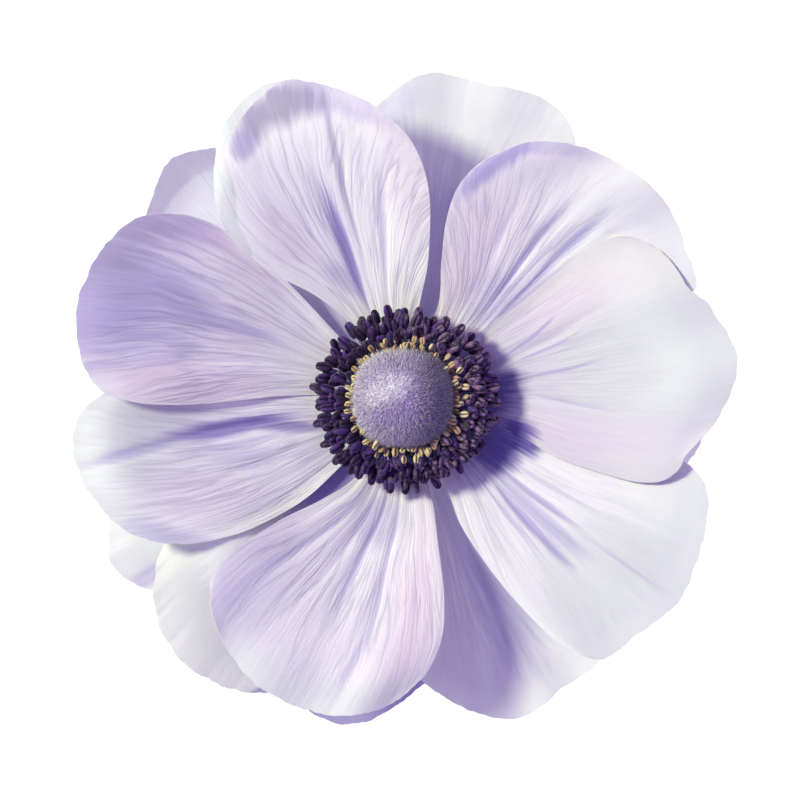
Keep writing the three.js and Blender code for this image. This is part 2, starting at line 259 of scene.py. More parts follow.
def hair_finish(name, low, high):
    """Two colours, from the foot of a hair or filament to its tip."""
    finish = Finish(name)
    own, level = finish.parts(finish.node("TexCoord", output=2))
    finish.wear(Base_Color=finish.mix(level * 0.8 + own * 0.2, low, high), Roughness=0.6)
    return finish.material


def make_stem():
    """The turned stalk with hairs on its lower part."""
    draw = random.Random(3)
    stalk = Model(turned(STEM_PROFILE, STEM_SIDES))
    cluster = Cluster()
    cluster.add(stalk, settled(stalk.points), 0.5)
    hair = hair_model(radius=0.035, length=0.75)
    for _ in range(STEM_HAIRS):
        height = draw.uniform(*STEM_HAIR_SPAN)
        radius = np.interp(height, [z for _, z in STEM_PROFILE], [r for r, _ in STEM_PROFILE])
        angle = draw.uniform(0, 2 * math.pi)
        out = Vector((math.cos(angle), math.sin(angle), 0))
        lean = Vector((draw.uniform(-0.3, 0.3), draw.uniform(-0.3, 0.3), draw.uniform(-0.7, 0.1)))
        foot = out * (radius - STEM_HAIR_SINK) + Vector((0, 0, height))
        cluster.seat(hair, foot, out + lean, draw.uniform(0.6, 1.1), draw.random(), slot=1)
    return cluster.piece(
        "stalk",
        stem_finish(),
        hair_finish("down_finish", paint(160, 170, 130), paint(232, 230, 222)),
    )


stalk = make_stem()
bpy.context.view_layer.objects.active = stalk
stalk.select_set(True)
bpy.ops.object.shade_smooth_by_angle(angle=math.radians(40))
stalk.select_set(False)
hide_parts("stem_and_receptacle")
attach(stalk, "root")

# Rear tepals
# Seven soft blades behind the rest, in two layers, each finely creased along the veins that fan out
# from its narrow root. Three of them bend down until their tips lie on the surface and carry the flower.
BLADE = 0.36
BLADE_IN_FRAME = 0.75  # upright, in the solids that this model replaces
ROOT_RADIUS = 3.2
ROOT_HALF_WIDTH = 17  # degrees
HIGH_REAR_ROOT = 7.85
LOW_REAR_ROOT = 6.7
CURVE_START = 5
DROOP_REACH = 36
MARGIN_WAVE = 0.35
WAVES_START, WAVES_FULL = 26, 40
BROAD_CREASE, FINE_CREASE, VEIN_RIDGE = 0.26, 0.12, 0.03
MARGIN_FRILL = 0.22
MARGIN_JAG = 0.006  # share of the radius
MARGIN_THICKNESS = 0.35  # share of the blade's
SIDE_TAPER, TIP_TAPER = 6, 9  # how steeply it thins to its margin
ACROSS, ALONG = 120, 110  # faces of the grid

PAINTS = {
    "white": paint(242, 242, 244),
    "pale": paint(222, 225, 227),
    "chalk": paint(209, 210, 216),
    "pink": paint(236, 212, 228),
    "mauve": paint(190, 168, 208),
    "violet": paint(172, 163, 210),
    "plum": paint(142, 124, 194),
    "grey": paint(158, 152, 182),
    # deep violet, used mostly as painted shade under and beside the ring of stamens
    "deep": paint(98, 82, 164),
    "rim": paint(228, 231, 232),
}

# An outline is points of [azimuth, radius], and its left is the anticlockwise side. A mark is a colour
# and an oval on the blade: across, along, half width, half length, turn in degrees, and its strength.
# A fold is such an oval with its depth in millimetres, and the marks that lie along folds are partly
# the veins' violet and partly painted shade in the crease. All else is in shares of the blade, across
# from its left and along from its root. The fan is the middle and the spread of its veins, and the reach
# is how far along they show.
REAR = {
    "top_left": {
        "root": 136,
        "left": [[148, 12], [153, 19], [157, 26.5], [156.5, 33.5]],
        "margin": [[150.5, 37.6], [142.5, 39.4], [134.5, 41.1], [127, 38.7], [121, 36.6]],
        "right": [[124, 12], [119, 19], [115.5, 26.5], [116, 33]],
        "height": HIGH_REAR_ROOT, "droop": 10.6, "waves": 2, "fan": (0.5, 0.5),
        "base": (196, 192, 213), "veins": 0.7, "reach": 0.9,
        "marks": [
            ("grey", 0.4, 1.02, 0.8, 0.14, 0, 0.6), ("white", 0.75, 0.72, 0.3, 0.2, 0, 0.12),
            # plum at the root: partly its violet base, partly painted shade in the gap between the front
            # tepals
            ("plum", 0.5, 0.2, 0.7, 0.3, 0, 0.25),
        ],
    },
    "top": {
        "root": 78,
        "left": [[92, 12], [96, 19], [99, 26.5], [98.5, 33]],
        "margin": [[94, 36.6], [86, 39.8], [75.5, 39.7], [65.5, 40.4], [58.5, 38.8]],
        "right": [[64, 12], [59, 19], [55, 26.5], [54.5, 34.8]],
        "height": HIGH_REAR_ROOT, "droop": 3.0, "waves": 3, "fan": (0.5, 0.5),
        "base": (223, 225, 227), "veins": 0.4, "reach": 0.75,
        "marks": [
            ("white", 0.72, 0.92, 0.25, 0.28, 0, 0.45), ("chalk", 0.97, 0.95, 0.2, 0.3, 0, 0.6),
            ("chalk", 0.56, 0.95, 0.09, 0.22, 0, 0.35), ("violet", 0.15, 0.93, 0.14, 0.1, 0, 0.4),
            # plum at the root: partly its violet base, partly painted shade in the gap between the front
            # tepals
            ("plum", 0.45, 0.3, 0.5, 0.45, 0, 0.55),
        ],
    },
    "right": {
        "root": 7,
        "left": [[21, 12], [27, 19], [31, 26.5], [31, 34.5]],
        "margin": [[27, 38.9], [18, 37.4], [8, 38], [-2, 37.2], [-11, 36.1]],
        "right": [[-8, 12], [-13, 19], [-16.5, 26.5], [-16, 33.5]],
        "height": HIGH_REAR_ROOT, "droop": 12.6, "waves": 2, "fan": (0.5, 0.5),
        "base": (246, 245, 250), "veins": 0.4, "reach": 0.8,
        # plum at the root: partly its violet base, partly painted shade under the front tepals
        "marks": [("plum", 0.5, 0.2, 0.7, 0.4, 0, 0.5)],
    },
    "lower_right": {
        "root": 288,
        "left": [[300, 12], [306, 19], [311, 26.5], [312, 35]],
        "margin": [[307, 39.5], [299, 40.1], [290, 41.3], [282.3, 39], [275, 35.2]],
        "right": [[276, 12], [271, 19], [268, 26], [269, 31.5]],
        "height": HIGH_REAR_ROOT, "droop": 1.8, "waves": 4, "fan": (0.5, 0.5),
        "base": (236, 236, 237), "veins": 0.45, "reach": 0.85,
        "marks": [
            # These marks are painted shadow of the bottom front tepal, over the tepal's own violet near
            # its root.
            ("mauve", 0.8, 0.45, 0.3, 0.45, 0, 0.2), ("plum", 0.3, 0.35, 0.3, 0.4, 0, 0.35),
            ("plum", 0.3, 0.6, 0.15, 0.34, -30, 0.4),
        ],
    },
    "lower_left": {
        "root": 230,
        "left": [[242, 12], [247, 19], [250, 26.5], [250, 34.5]],
        "margin": [[245, 39.5], [238.5, 41.3], [231.5, 42], [224.5, 41.2], [217, 38.3]],
        "right": [[218, 12], [213, 19], [209.5, 26], [210.5, 33.3]],
        "height": HIGH_REAR_ROOT, "droop": 3.2, "waves": 2, "fan": (0.5, 0.5),
        "base": (213, 213, 216), "veins": 0.2, "reach": 0.6,
        "marks": [
            # The plum mark is partly violet root and partly painted shade in the gap between the front
            # tepals; the white one is painted light over the shadow of the front tepal above; the small
            # grey one is painted shade on a folded tip.
            ("plum", 0.5, 0.24, 0.6, 0.22, 0, 0.9), ("white", 0.72, 0.66, 0.3, 0.13, 0, 0.8),
            ("grey", 0.2, 1.0, 0.06, 0.03, 0, 1.0),
        ],
        "folds": [(0.78, 0.73, 0.35, 0.25, 20, -4.9)],
    },
    "bottom": {
        "root": 260,
        "left": [[270, 12], [275, 19], [278.5, 26], [277.5, 32.5]],
        "margin": [[270.5, 36.6], [263, 39.9], [256, 40.6], [248.5, 38.4]],
        "right": [[250, 12], [245, 19], [241, 26.5], [242, 34.5]],
        "height": LOW_REAR_ROOT, "droop": 9.2, "waves": 2, "fan": (0.5, 0.5),
        # Its dark violet is partly its colour and partly painted shade, as it lies under the bottom
        # front tepal.
        "base": (160, 153, 194), "veins": 0.5, "reach": 0.9,
        "marks": [],
    },
    "left": {
        "root": 208,
        "left": [[217, 12], [222, 19], [225.5, 26.5], [224, 34]],
        "margin": [[217.5, 38.6], [210, 41.2], [203, 39.3], [196.5, 36.8]],
        "right": [[198, 12], [193, 19], [189.5, 26], [190, 32.5]],
        "height": LOW_REAR_ROOT, "droop": 4.6, "waves": 2, "fan": (0.5, 0.5),
        "base": (216, 217, 222), "veins": 0.2, "reach": 0.6,
        # The violet mark is painted shade beside the edge of the lower left rear tepal; the plum one is
        # partly violet root and partly painted shade in the gap between the front tepals.
        "marks": [("violet", 0.31, 0.94, 0.05, 0.1, 15, 0.5), ("plum", 0.5, 0.2, 0.7, 0.35, 0, 0.5)],
    },
}


def ease(value, low, high):
    """0 below low and 1 above high, with a smooth rise between them."""
    share = np.clip((value - low) / (high - low), 0, 1)
    return share * share * (3 - 2 * share)


def polar(points):
    """Points in plan from azimuths in degrees and radii."""
    azimuth, radius = np.array(points, float).T
    azimuth = np.radians(azimuth)
    return np.column_stack([np.cos(azimuth) * radius, np.sin(azimuth) * radius])


def curve_points(points, places):
    """Points on a smooth curve through the given ones, counted from 0 along them."""
    padded = np.vstack([2 * points[0] - points[1], points, 2 * points[-1] - points[-2]])
    first = np.clip(np.floor(places).astype(int), 0, len(points) - 2)
    t = (places - first)[:, None]
    a, b, c, d = (padded[first + k] for k in range(4))
    return 0.5 * (2 * b + (c - a) * t + (2 * a - 5 * b + 4 * c - d) * t**2
                  + (3 * b - a - 3 * c + d) * t**3)


def even_stretch(points, start, end, shares):
    """Points at the given shares of the length of a stretch of the curve."""
    fine = curve_points(points, np.linspace(start, end, 600))
    length = np.concatenate([[0], np.cumsum(np.linalg.norm(np.diff(fine, axis=0), axis=1))])
    return np.column_stack([np.interp(shares * length[-1], length, fine[:, k]) for k in range(2)])


def tepal_plan(tepal, u, v):
    """Where each (u, v) of a tepal lies in plan: u runs across from its left, v out from its root."""
    start, end = ([tepal["root"] + turn, ROOT_RADIUS] for turn in (ROOT_HALF_WIDTH, -ROOT_HALF_WIDTH))
    outline = polar([start, *tepal["left"], *tepal["margin"], *tepal["right"][::-1], end])
    last = len(outline) - 1
    left_corner = len(tepal["left"])
    right_corner = last - len(tepal["right"])
    left = even_stretch(outline, 0, left_corner, v)
    right = even_stretch(outline, last, right_corner, v)
    margin = even_stretch(outline, left_corner, right_corner, u)
    turns = tepal["root"] + ROOT_HALF_WIDTH * (1 - 2 * u)
    root = polar(np.column_stack([turns, np.full_like(turns, ROOT_RADIUS)]))
    u, v = u[:, None], v[:, None]
    corners = ((1 - u) * (1 - v) * outline[0] + u * (1 - v) * outline[-1]
               + (1 - u) * v * outline[left_corner] + u * v * outline[right_corner])
    return (1 - u) * left + u * right + (1 - v) * root + v * margin - corners


def margin_wave(tepal, u, radius):
    """Shallow waves that run round the margin and die out inwards."""
    waves = tepal["waves"]
    return MARGIN_WAVE * ease(radius, WAVES_START, WAVES_FULL) * np.sin(2 * np.pi * waves * u + waves)


def rear_height(tepal, u, radius):
    """Level at the root, and drooping more and more outwards."""
    out = np.maximum(0, (radius - CURVE_START) / DROOP_REACH)
    return tepal["height"] - tepal["droop"] * out**3 + margin_wave(tepal, u, radius)


def creases(tepal, u, v):
    """Small relief along the veins, in millimetres, with the tepal's own folds."""
    seed = tepal["root"]
    middle, spread = tepal["fan"]
    w = (u - middle) * (1 - spread * (v - 0.2))
    relief = np.array([
        BROAD_CREASE * noise((a * 6, b * 1.9, seed))
        + FINE_CREASE * noise((a * 16, b * 2.6, seed + 9))
        - VEIN_RIDGE * (1 - 2 * abs(noise((a * 34, b * 3.0, seed + 30)))) ** 3
        for a, b in zip(w, v)
    ])
    fade = 1 - ease(v, tepal["reach"] - 0.3, tepal["reach"] + 0.3)
    relief *= ease(v, 0.08, 0.3) * (0.25 + 0.75 * fade) * (0.15 + 0.85 * tepal["veins"])
    frill = np.array([noise((a * 5, b * 3, seed + 50)) for a, b in zip(u, v)])
    relief += MARGIN_FRILL * frill * ease(v, 0.75, 1.0)
    for across, along, half_width, half_length, turn, depth in tepal.get("folds", []):
        angle = math.radians(turn)
        x, y = u - across, v - along
        side = (x * math.cos(angle) + y * math.sin(angle)) / half_width
        length = (y * math.cos(angle) - x * math.sin(angle)) / half_length
        relief -= depth * np.exp(-side**2 - length**2)
    return relief


def make_tepal(name, tepal, height_of):
    """A grid laid over the outline, raised to its height and given a blade that thins at the margin."""
    bpy.ops.mesh.primitive_grid_add(x_subdivisions=ACROSS, y_subdivisions=ALONG, size=1)
    piece = bpy.context.object
    piece.name = name
    mesh = piece.data
    flat = np.empty(len(mesh.vertices) * 3)
    mesh.vertices.foreach_get("co", flat)
    spots = flat.reshape(-1, 3) + 0.5
    u, v = spots[:, 0], spots[:, 1]
    plan = tepal_plan(tepal, u, v)
    radius = np.hypot(plan[:, 0], plan[:, 1])
    seed = tepal["root"]
    jag = np.array([noise((a * 16, seed, b)) + 0.5 * noise((a * 45, seed, b)) for a, b in zip(u, v)])
    plan *= (1 + MARGIN_JAG * jag * ease(v, 0.85, 1.0))[:, None]
    height = height_of(tepal, u, radius) + creases(tepal, u, v)
    height = np.maximum(height, BLADE_IN_FRAME / 2)
    mesh.vertices.foreach_set("co", settled(np.column_stack([plan, height])).ravel())
    thick = piece.vertex_groups.new(name="thick")
    edge = np.minimum(np.minimum(u, 1 - u) * SIDE_TAPER, (1 - v) * TIP_TAPER)
    for index, share in enumerate(np.clip(edge, MARGIN_THICKNESS, 1)):
        thick.add([index], float(share), "REPLACE")
    bpy.ops.object.modifier_add(type="SOLIDIFY")
    solidify = piece.modifiers[-1]
    solidify.thickness = BLADE * MM
    solidify.offset = 0
    solidify.vertex_group = "thick"
    bpy.ops.object.modifier_apply(modifier=solidify.name)
    bpy.ops.object.shade_smooth_by_angle(angle=math.radians(50))
    return piece


def tepal_finish(name, tepal):
    """Marks of colour, among them painted shade and painted light, under fine veins, which fan out from
    the root and fade at the tepal's reach; a painted sheen along fine lines; deep violet at the root,
    partly painted shade.
    """
    finish = Finish(name)
    uv = finish.node("TexCoord", output=2)
    u, v = finish.parts(uv)
    seed = float(tepal["root"])
    middle, spread = tepal["fan"]
    wander = finish.noise(finish.point(u * 4, v * 3, seed), 1.0, 2.0) - 0.5
    ripple = finish.noise(finish.point(u * 16, v * 11, seed + 2), 1.0, 2.0) - 0.5
    w = (u + wander * 0.06 + ripple * 0.01 - middle) * (1 - (v - 0.2) * spread)
    broad = finish.noise(finish.point(w * 8, v * 1.7, seed + 3), 1.0, 3.0, 0.6)
    streaks = finish.noise(finish.point(w * 40, v * 2.4, seed + 5), 1.0, 3.0, 0.6)
    hairlines = finish.noise(finish.point(w * 120, v * 4, seed + 6), 1.0, 2.0, 0.5)
    crepe = finish.noise(finish.point(w * 80, v * 16, seed + 7), 1.0, 2.0, 0.6)
    vein = finish.ridges(finish.noise(finish.point(w * 17, v * 1.5, seed + 8), 1.0, 2.0, 0.5), 0.05)
    veinlet = finish.ridges(finish.noise(finish.point(w * 44, v * 3.2, seed + 9), 1.0, 2.0, 0.5), 0.07)
    inner = finish.ease(v, tepal["reach"] + 0.25, tepal["reach"] - 0.35) * tepal["veins"]
    patchy = finish.ease(broad, 0.35, 0.65) * 0.65 + 0.35
    feather = (streaks - 0.5) * 1.1 + (broad - 0.5) * 0.9
    colour = paint(*tepal["base"])
    for kind, *oval, strength in tepal["marks"]:
        covered = finish.ease(finish.oval(uv, *oval) + feather, 1.3, 0.45) * strength
        colour = finish.mix(covered, colour, PAINTS[kind])
    for across, along, half_width, half_length in tepal.get("rim", []):
        covered = finish.ease(finish.oval(uv, across, along, half_width, half_length, 0), 1.06, 0.94)
        colour = finish.mix(covered, colour, PAINTS["rim"])
    tint = finish.ease(streaks, 0.45, 0.8) * inner * 0.22
    lines = (vein * 0.45 + veinlet * 0.28) * inner * patchy
    colour = finish.mix(tint, colour, PAINTS["violet"])
    colour = finish.mix(lines, colour, PAINTS["grey"])
    # Painted sheen: paler along fine lines, where the satin surface catches the light.
    painted_sheen = finish.ease(hairlines, 0.45, 0.8) * (inner * 0.12 + 0.02)
    colour = finish.mix(painted_sheen, colour, PAINTS["white"])
    # Deep violet at the root, under the ring of stamens: partly the tepal's own colour, partly painted
    # shade.
    colour = finish.mix(finish.ease(v, 0.2, 0.08) * 0.6, colour, PAINTS["deep"])
    lines_up = streaks * 0.5 + crepe * 0.22 - vein * 0.22 - veinlet * 0.1
    relief = lines_up * (inner * 0.85 + 0.08) + broad * 0.25
    finish.wear(
        Base_Color=colour,
        Roughness=0.5 + streaks * 0.25,
        Normal=finish.bump(relief, 0.48, 0.4),
        Specular_IOR_Level=0.2,
        Sheen_Weight=0.06,
        Subsurface_Weight=0.25,
        Subsurface_Radius=(1.0, 0.7, 1.2),
        Subsurface_Scale=0.5 * MM,
    )
    return finish.material


def add_tepal(node, tepal, height_of):
    piece = make_tepal(node.replace("tepal", "petal"), tepal, height_of)
    piece.data.materials.append(tepal_finish(node + "_finish", tepal))
    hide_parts(node)
    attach(piece, "root")


for name, tepal in REAR.items():
    add_tepal(f"rear_tepal_{name}", tepal, rear_height)

# Front tepals
# Seven broad blades over the rear ones, soft and as finely creased. They rise outwards like a shallow
# bowl and lap over each other at the sides, and some are folded along their veins.
FRONT_ROOT = 9.0
BOWL_EDGE = 40
LIFT_START, LIFT_FULL = 9, 20
CURL_START, CURL_FULL = 32, 41

# Given as the rear ones are. A rim is a bright rolled edge, of ovals that cover what they lie over.
FRONT = {
    "upper_left": {
        "root": 155,
        "left": [[177.5, 11], [179, 16], [181, 22], [181.5, 28], [180.5, 33]],
        "margin": [[178, 36.8], [172, 39.5], [163, 41], [154, 40.6], [146, 38.9]],
        "right": [[136.5, 11], [135.3, 17], [135.2, 23.5], [136.5, 29], [139.8, 34.2]],
        "rise": 8.6, "lifts": [0.4, -1.0], "tip": -0.4, "waves": 2, "fan": (1.1, 0.28),
        "base": (244, 239, 246), "veins": 0.9, "reach": 0.95,
        "marks": [
            # The violet, mauve and grey marks at the outer end are partly the tepal's violet and partly
            # painted shade, as this tepal turns away from the light.
            ("violet", 0.5, 0.97, 0.32, 0.36, 0, 0.78), ("mauve", 0.84, 0.95, 0.2, 0.2, 0, 0.6),
            ("pink", 0.12, 0.7, 0.16, 0.35, 10, 0.5), ("violet", 0.54, 0.5, 0.04, 0.28, 8, 0.5),
            ("grey", 0.74, 1.0, 0.28, 0.15, 0, 0.65), ("white", 0.35, 0.27, 0.4, 0.14, 0, 0.8),
            ("pink", 0.95, 0.66, 0.1, 0.16, 0, 0.5),
        ],
        "folds": [(0.3, 0.6, 0.03, 0.3, 12, 0.2), (0.55, 0.5, 0.035, 0.3, 0, 0.25)],
    },
    "top_left": {
        "root": 104,
        "left": [[126, 11], [130.8, 16.5], [136.3, 22], [137.5, 27.5], [134.8, 32]],
        "margin": [[129, 36.4], [122, 40], [113, 41.4], [104, 38.9], [96.5, 35.6]],
        "right": [[81, 12.5], [80.5, 17], [82.8, 24], [86, 28.6], [90.5, 32.4]],
        "rise": 8.2, "lifts": [0.3, 1.2], "tip": 0.8, "waves": 3, "fan": (0.1, 0.6),
        "base": (250, 247, 250), "veins": 0.75, "reach": 0.95,
        "marks": [
            # The violet and grey marks along the top margin are painted shade inside the crease where
            # the margin curls over.
            ("pink", 0.92, 0.75, 0.12, 0.3, 0, 0.35), ("violet", 0.7, 0.96, 0.25, 0.08, 0, 0.45),
            ("grey", 0.48, 0.935, 0.17, 0.07, 5, 0.85), ("violet", 0.32, 0.905, 0.055, 0.045, -30, 0.6),
            ("violet", 0.3, 0.36, 0.12, 0.07, -40, 0.4), ("violet", 0.43, 0.42, 0.05, 0.22, -17, 0.85),
            ("plum", 0.435, 0.4, 0.024, 0.17, -17, 0.85), ("grey", 0.59, 0.7, 0.016, 0.25, -16, 0.4),
            ("violet", 0.7, 0.48, 0.025, 0.22, -18, 0.4), ("pink", 0.2, 0.62, 0.12, 0.14, 0, 0.25),
        ],
        "rim": [(0.0, 0.94, 0.11, 0.19), (0.06, 0.96, 0.17, 0.13), (0.23, 1.01, 0.32, 0.05)],
        "folds": [(0.43, 0.43, 0.04, 0.2, -17, 0.5), (0.59, 0.65, 0.025, 0.3, -16, 0.2),
                  (0.7, 0.48, 0.035, 0.22, -18, 0.25), (0.2, 1.03, 0.3, 0.06, 0, 0.45),
                  (-0.02, 0.85, 0.07, 0.3, 0, 0.35)],
    },
    "top_right": {
        "root": 54,
        "left": [[70.5, 12], [75, 17], [77, 22.5], [75.5, 27], [71, 30.6]],
        "margin": [[64, 34.4], [55.5, 36.9], [46, 38.6], [37, 39.3], [28.5, 38.4]],
        "right": [[36, 12], [36, 17], [33, 24], [27, 30], [20.5, 36.9]],
        "rise": 7.6, "lifts": [1.0, -0.4], "tip": 0.3, "waves": 3, "fan": (1.3, 0.38),
        "base": (231, 226, 236), "veins": 0.85, "reach": 0.8,
        "marks": [
            ("white", 0.85, 0.92, 0.45, 0.38, 0, 0.7), ("pale", 0.8, 0.95, 0.5, 0.4, 0, 0.35),
            ("pink", 0.2, 0.45, 0.25, 0.3, 15, 0.4),
            ("violet", 0.1, 0.88, 0.1, 0.16, -20, 0.9), ("violet", 0.2, 0.97, 0.2, 0.05, 0, 0.4),
            ("violet", 0.6, 0.33, 0.35, 0.12, 0, 0.5), ("plum", 0.92, 0.46, 0.03, 0.19, 28, 0.85),
            ("violet", 0.36, 0.52, 0.025, 0.2, 12, 0.4), ("violet", 0.585, 0.5, 0.03, 0.26, 14, 0.75),
            ("violet", 0.67, 0.5, 0.015, 0.2, 16, 0.4), ("violet", 0.74, 0.575, 0.03, 0.255, 22, 0.75),
            ("violet", 0.82, 0.4, 0.05, 0.14, 10, 0.5),
        ],
        "folds": [(0.585, 0.52, 0.035, 0.24, 14, 0.3), (0.74, 0.58, 0.035, 0.24, 22, 0.3),
                  (0.92, 0.46, 0.035, 0.2, 28, 0.25), (0.36, 0.48, 0.04, 0.2, 12, 0.2),
                  (0.0, 0.9, 0.06, 0.2, -10, 0.3)],
    },
    "right": {
        "root": 8,
        "left": [[41.2, 12], [40.5, 17.5], [40.2, 23], [39.8, 28.5], [36.5, 33]],
        "margin": [[29.5, 35.7], [22, 36.6], [15, 38.8], [6.5, 40.2], [-2, 38.3], [-9.5, 35.2]],
        "right": [[-17, 13.5], [-21, 19.5], [-20.5, 26], [-19.4, 30.3], [-16.5, 33.2]],
        "rise": 7.6, "lifts": [0.2, 0.3], "tip": 0.1, "waves": 3, "fan": (0.7, 0.05),
        "base": (211, 205, 221), "veins": 0.6, "reach": 0.6,
        "marks": [
            ("pale", 0.45, 0.95, 0.8, 0.4, 0, 0.9), ("chalk", 0.5, 0.6, 0.28, 0.17, 0, 0.7),
            ("pink", 0.85, 0.6, 0.12, 0.3, 0, 0.2), ("mauve", 0.9, 0.8, 0.2, 0.4, 0, 0.28),
            ("white", 0.08, 0.88, 0.2, 0.35, 0, 0.5), ("pink", 0.05, 0.85, 0.22, 0.35, 0, 0.24),
            ("pink", 0.15, 0.6, 0.14, 0.2, 0, 0.25), ("violet", 0.35, 0.42, 0.011, 0.16, 15, 0.7),
            ("violet", 0.5, 0.42, 0.011, 0.16, 12, 0.7), ("violet", 0.25, 0.4, 0.011, 0.14, 25, 0.7),
            ("violet", 0.68, 0.46, 0.012, 0.18, -10, 0.4), ("violet", 0.0, 0.45, 0.015, 0.35, 0, 0.5),
            # The deep marks are painted shadow of the ring of stamens.
            ("deep", 0.7, 0.2, 0.5, 0.12, 0, 0.9), ("deep", 0.98, 0.35, 0.12, 0.09, 0, 1.0),
        ],
        "folds": [(0.3, 0.45, 0.03, 0.2, 15, 0.2), (0.68, 0.5, 0.03, 0.25, -10, 0.2)],
    },
    "lower_right": {
        "root": 316,
        "left": [[-13, 12], [-15, 17], [-15, 23], [-13, 29], [-12.5, 34.3]],
        "margin": [[-17.5, 38.2], [-27, 39.9], [-36, 40.9], [-45, 39.9], [-53, 39.1]],
        "right": [[-65, 12], [-66, 17], [-63.3, 23.5], [-60.5, 29.5], [-57.5, 35]],
        "rise": 7.4, "lifts": [-0.6, 0.9], "tip": 0.0, "waves": 3, "fan": (0.2, 0.45),
        "base": (229, 226, 234), "veins": 0.65, "reach": 0.65,
        "marks": [
            ("pale", 0.4, 1.0, 0.8, 0.3, 0, 0.9), ("chalk", 0.55, 0.74, 0.3, 0.2, 0, 0.8),
            ("plum", 0.6, 0.46, 0.03, 0.22, -10, 0.65), ("plum", 0.45, 0.44, 0.025, 0.2, -2, 0.6),
            ("violet", 0.53, 0.46, 0.05, 0.22, -6, 0.65), ("violet", 0.66, 0.42, 0.02, 0.16, -8, 0.5),
            ("violet", 0.34, 0.46, 0.02, 0.16, 0, 0.4), ("violet", 0.5, 0.79, 0.009, 0.14, -9, 0.35),
            # The deep marks at the root are painted shadow of the ring of stamens.
            ("violet", 1.0, 0.8, 0.012, 0.3, 0, 0.4), ("deep", 0.2, 0.22, 0.5, 0.12, 0, 0.9),
            ("deep", 0.12, 0.36, 0.13, 0.06, 0, 1.0), ("deep", 0.3, 0.3, 0.15, 0.06, 0, 0.7),
        ],
        "folds": [(0.6, 0.48, 0.025, 0.25, -10, 0.25), (0.45, 0.48, 0.025, 0.22, -2, 0.25),
                  (0.34, 0.5, 0.03, 0.25, 0, 0.2)],
    },
    "bottom": {
        "root": 262,
        "left": [[285, 12.5], [282.8, 18], [281.3, 24], [278.5, 29.4], [273.2, 33.9]],
        "margin": [[265.5, 37.4], [257.5, 39], [249, 39.2], [240, 38.3], [231, 35.8]],
        "right": [[238, 11], [230, 16], [223.8, 21.5], [221.8, 27.5], [223.5, 32.2]],
        "rise": 8.0, "lifts": [1.5, 0.8], "tip": 0.6, "waves": 3, "fan": (0.45, 0.15),
        "base": (234, 228, 239), "veins": 0.9, "reach": 0.9,
        "marks": [
            ("pink", 0.12, 0.65, 0.14, 0.35, 0, 0.5), ("violet", 0.5, 0.33, 0.25, 0.1, 0, 0.5),
            ("mauve", 0.1, 0.62, 0.12, 0.3, 0, 0.2),
            # The violet and mauve on this side are partly the tepal's colour and partly painted shade,
            # as this side turns away from the light.
            ("violet", 0.9, 0.85, 0.2, 0.28, 0, 0.32), ("mauve", 0.93, 0.62, 0.08, 0.15, 0, 0.3),
            ("violet", 0.34, 0.5, 0.018, 0.3, 3, 0.55), ("violet", 0.36, 0.85, 0.018, 0.14, -10, 0.35),
            ("violet", 0.5, 0.45, 0.025, 0.22, 0, 0.6), ("violet", 0.62, 0.43, 0.02, 0.2, -5, 0.5),
            ("violet", 0.8, 0.5, 0.018, 0.2, -10, 0.35), ("pale", 0.4, 1.0, 0.5, 0.12, 0, 0.8),
        ],
        "folds": [(0.34, 0.6, 0.03, 0.35, 0, 0.3), (0.5, 0.5, 0.035, 0.25, 0, 0.25),
                  (0.64, 0.5, 0.03, 0.25, -5, 0.2), (0.8, 0.55, 0.03, 0.25, -10, 0.2),
                  (-0.05, 1.02, 0.3, 0.22, 0, 2.4)],
    },
    "lower_left": {
        "root": 207,
        "left": [[226.2, 12], [224.8, 17.5], [221, 23.2], [217.4, 27.6], [213, 32.2]],
        "margin": [[207, 36.4], [200, 38.9], [192, 40.4], [185, 40.1], [180.3, 37.6]],
        "right": [[173, 12], [175.5, 17], [177, 22.5], [177, 28], [177.3, 33.4]],
        "rise": 6.8, "lifts": [-1.3, 0.1], "tip": 2.0, "waves": 2, "fan": (0.0, 0.25),
        "base": (250, 247, 251), "veins": 0.8, "reach": 0.85,
        "marks": [
            ("chalk", 0.8, 0.95, 0.45, 0.36, 0, 1.0), ("pale", 0.3, 1.02, 0.6, 0.14, 0, 0.8),
            ("pink", 0.3, 0.65, 0.2, 0.2, 0, 0.2),
            ("violet", 0.1, 0.95, 0.2, 0.12, 0, 0.5), ("plum", 0.57, 0.31, 0.05, 0.19, -42, 0.8),
            ("plum", 0.665, 0.52, 0.055, 0.22, 4, 0.9), ("violet", 0.605, 0.8, 0.03, 0.2, 16, 0.6),
            ("violet", 0.56, 0.52, 0.03, 0.2, -5, 0.4),
            ("violet", 0.4, 0.46, 0.03, 0.12, -15, 0.5), ("violet", 0.48, 0.48, 0.03, 0.14, -10, 0.4),
            ("violet", 0.4, 0.27, 0.4, 0.12, 0, 0.3),
        ],
        "folds": [(0.58, 0.33, 0.04, 0.15, -42, 0.4), (0.665, 0.54, 0.04, 0.18, 4, 0.5),
                  (0.605, 0.8, 0.03, 0.18, 16, 0.3), (0.42, 0.48, 0.035, 0.15, -12, 0.25)],
    },
}


def front_height(tepal, u, radius):
    """Rises like a bowl, curls back at the tip, and lifts or sinks at either side."""
    left, right = tepal["lifts"]
    lift = left * ease(0.5 - u, 0, 0.5) + right * ease(u - 0.5, 0, 0.5)
    return (FRONT_ROOT + tepal["rise"] * ease(radius, CURVE_START, BOWL_EDGE)
            - tepal["tip"] * ease(radius, CURL_START, CURL_FULL) ** 2
            + lift * ease(radius, LIFT_START, LIFT_FULL) + margin_wave(tepal, u, radius))


for name, tepal in FRONT.items():
    add_tepal(f"front_tepal_{name}", tepal, front_height)

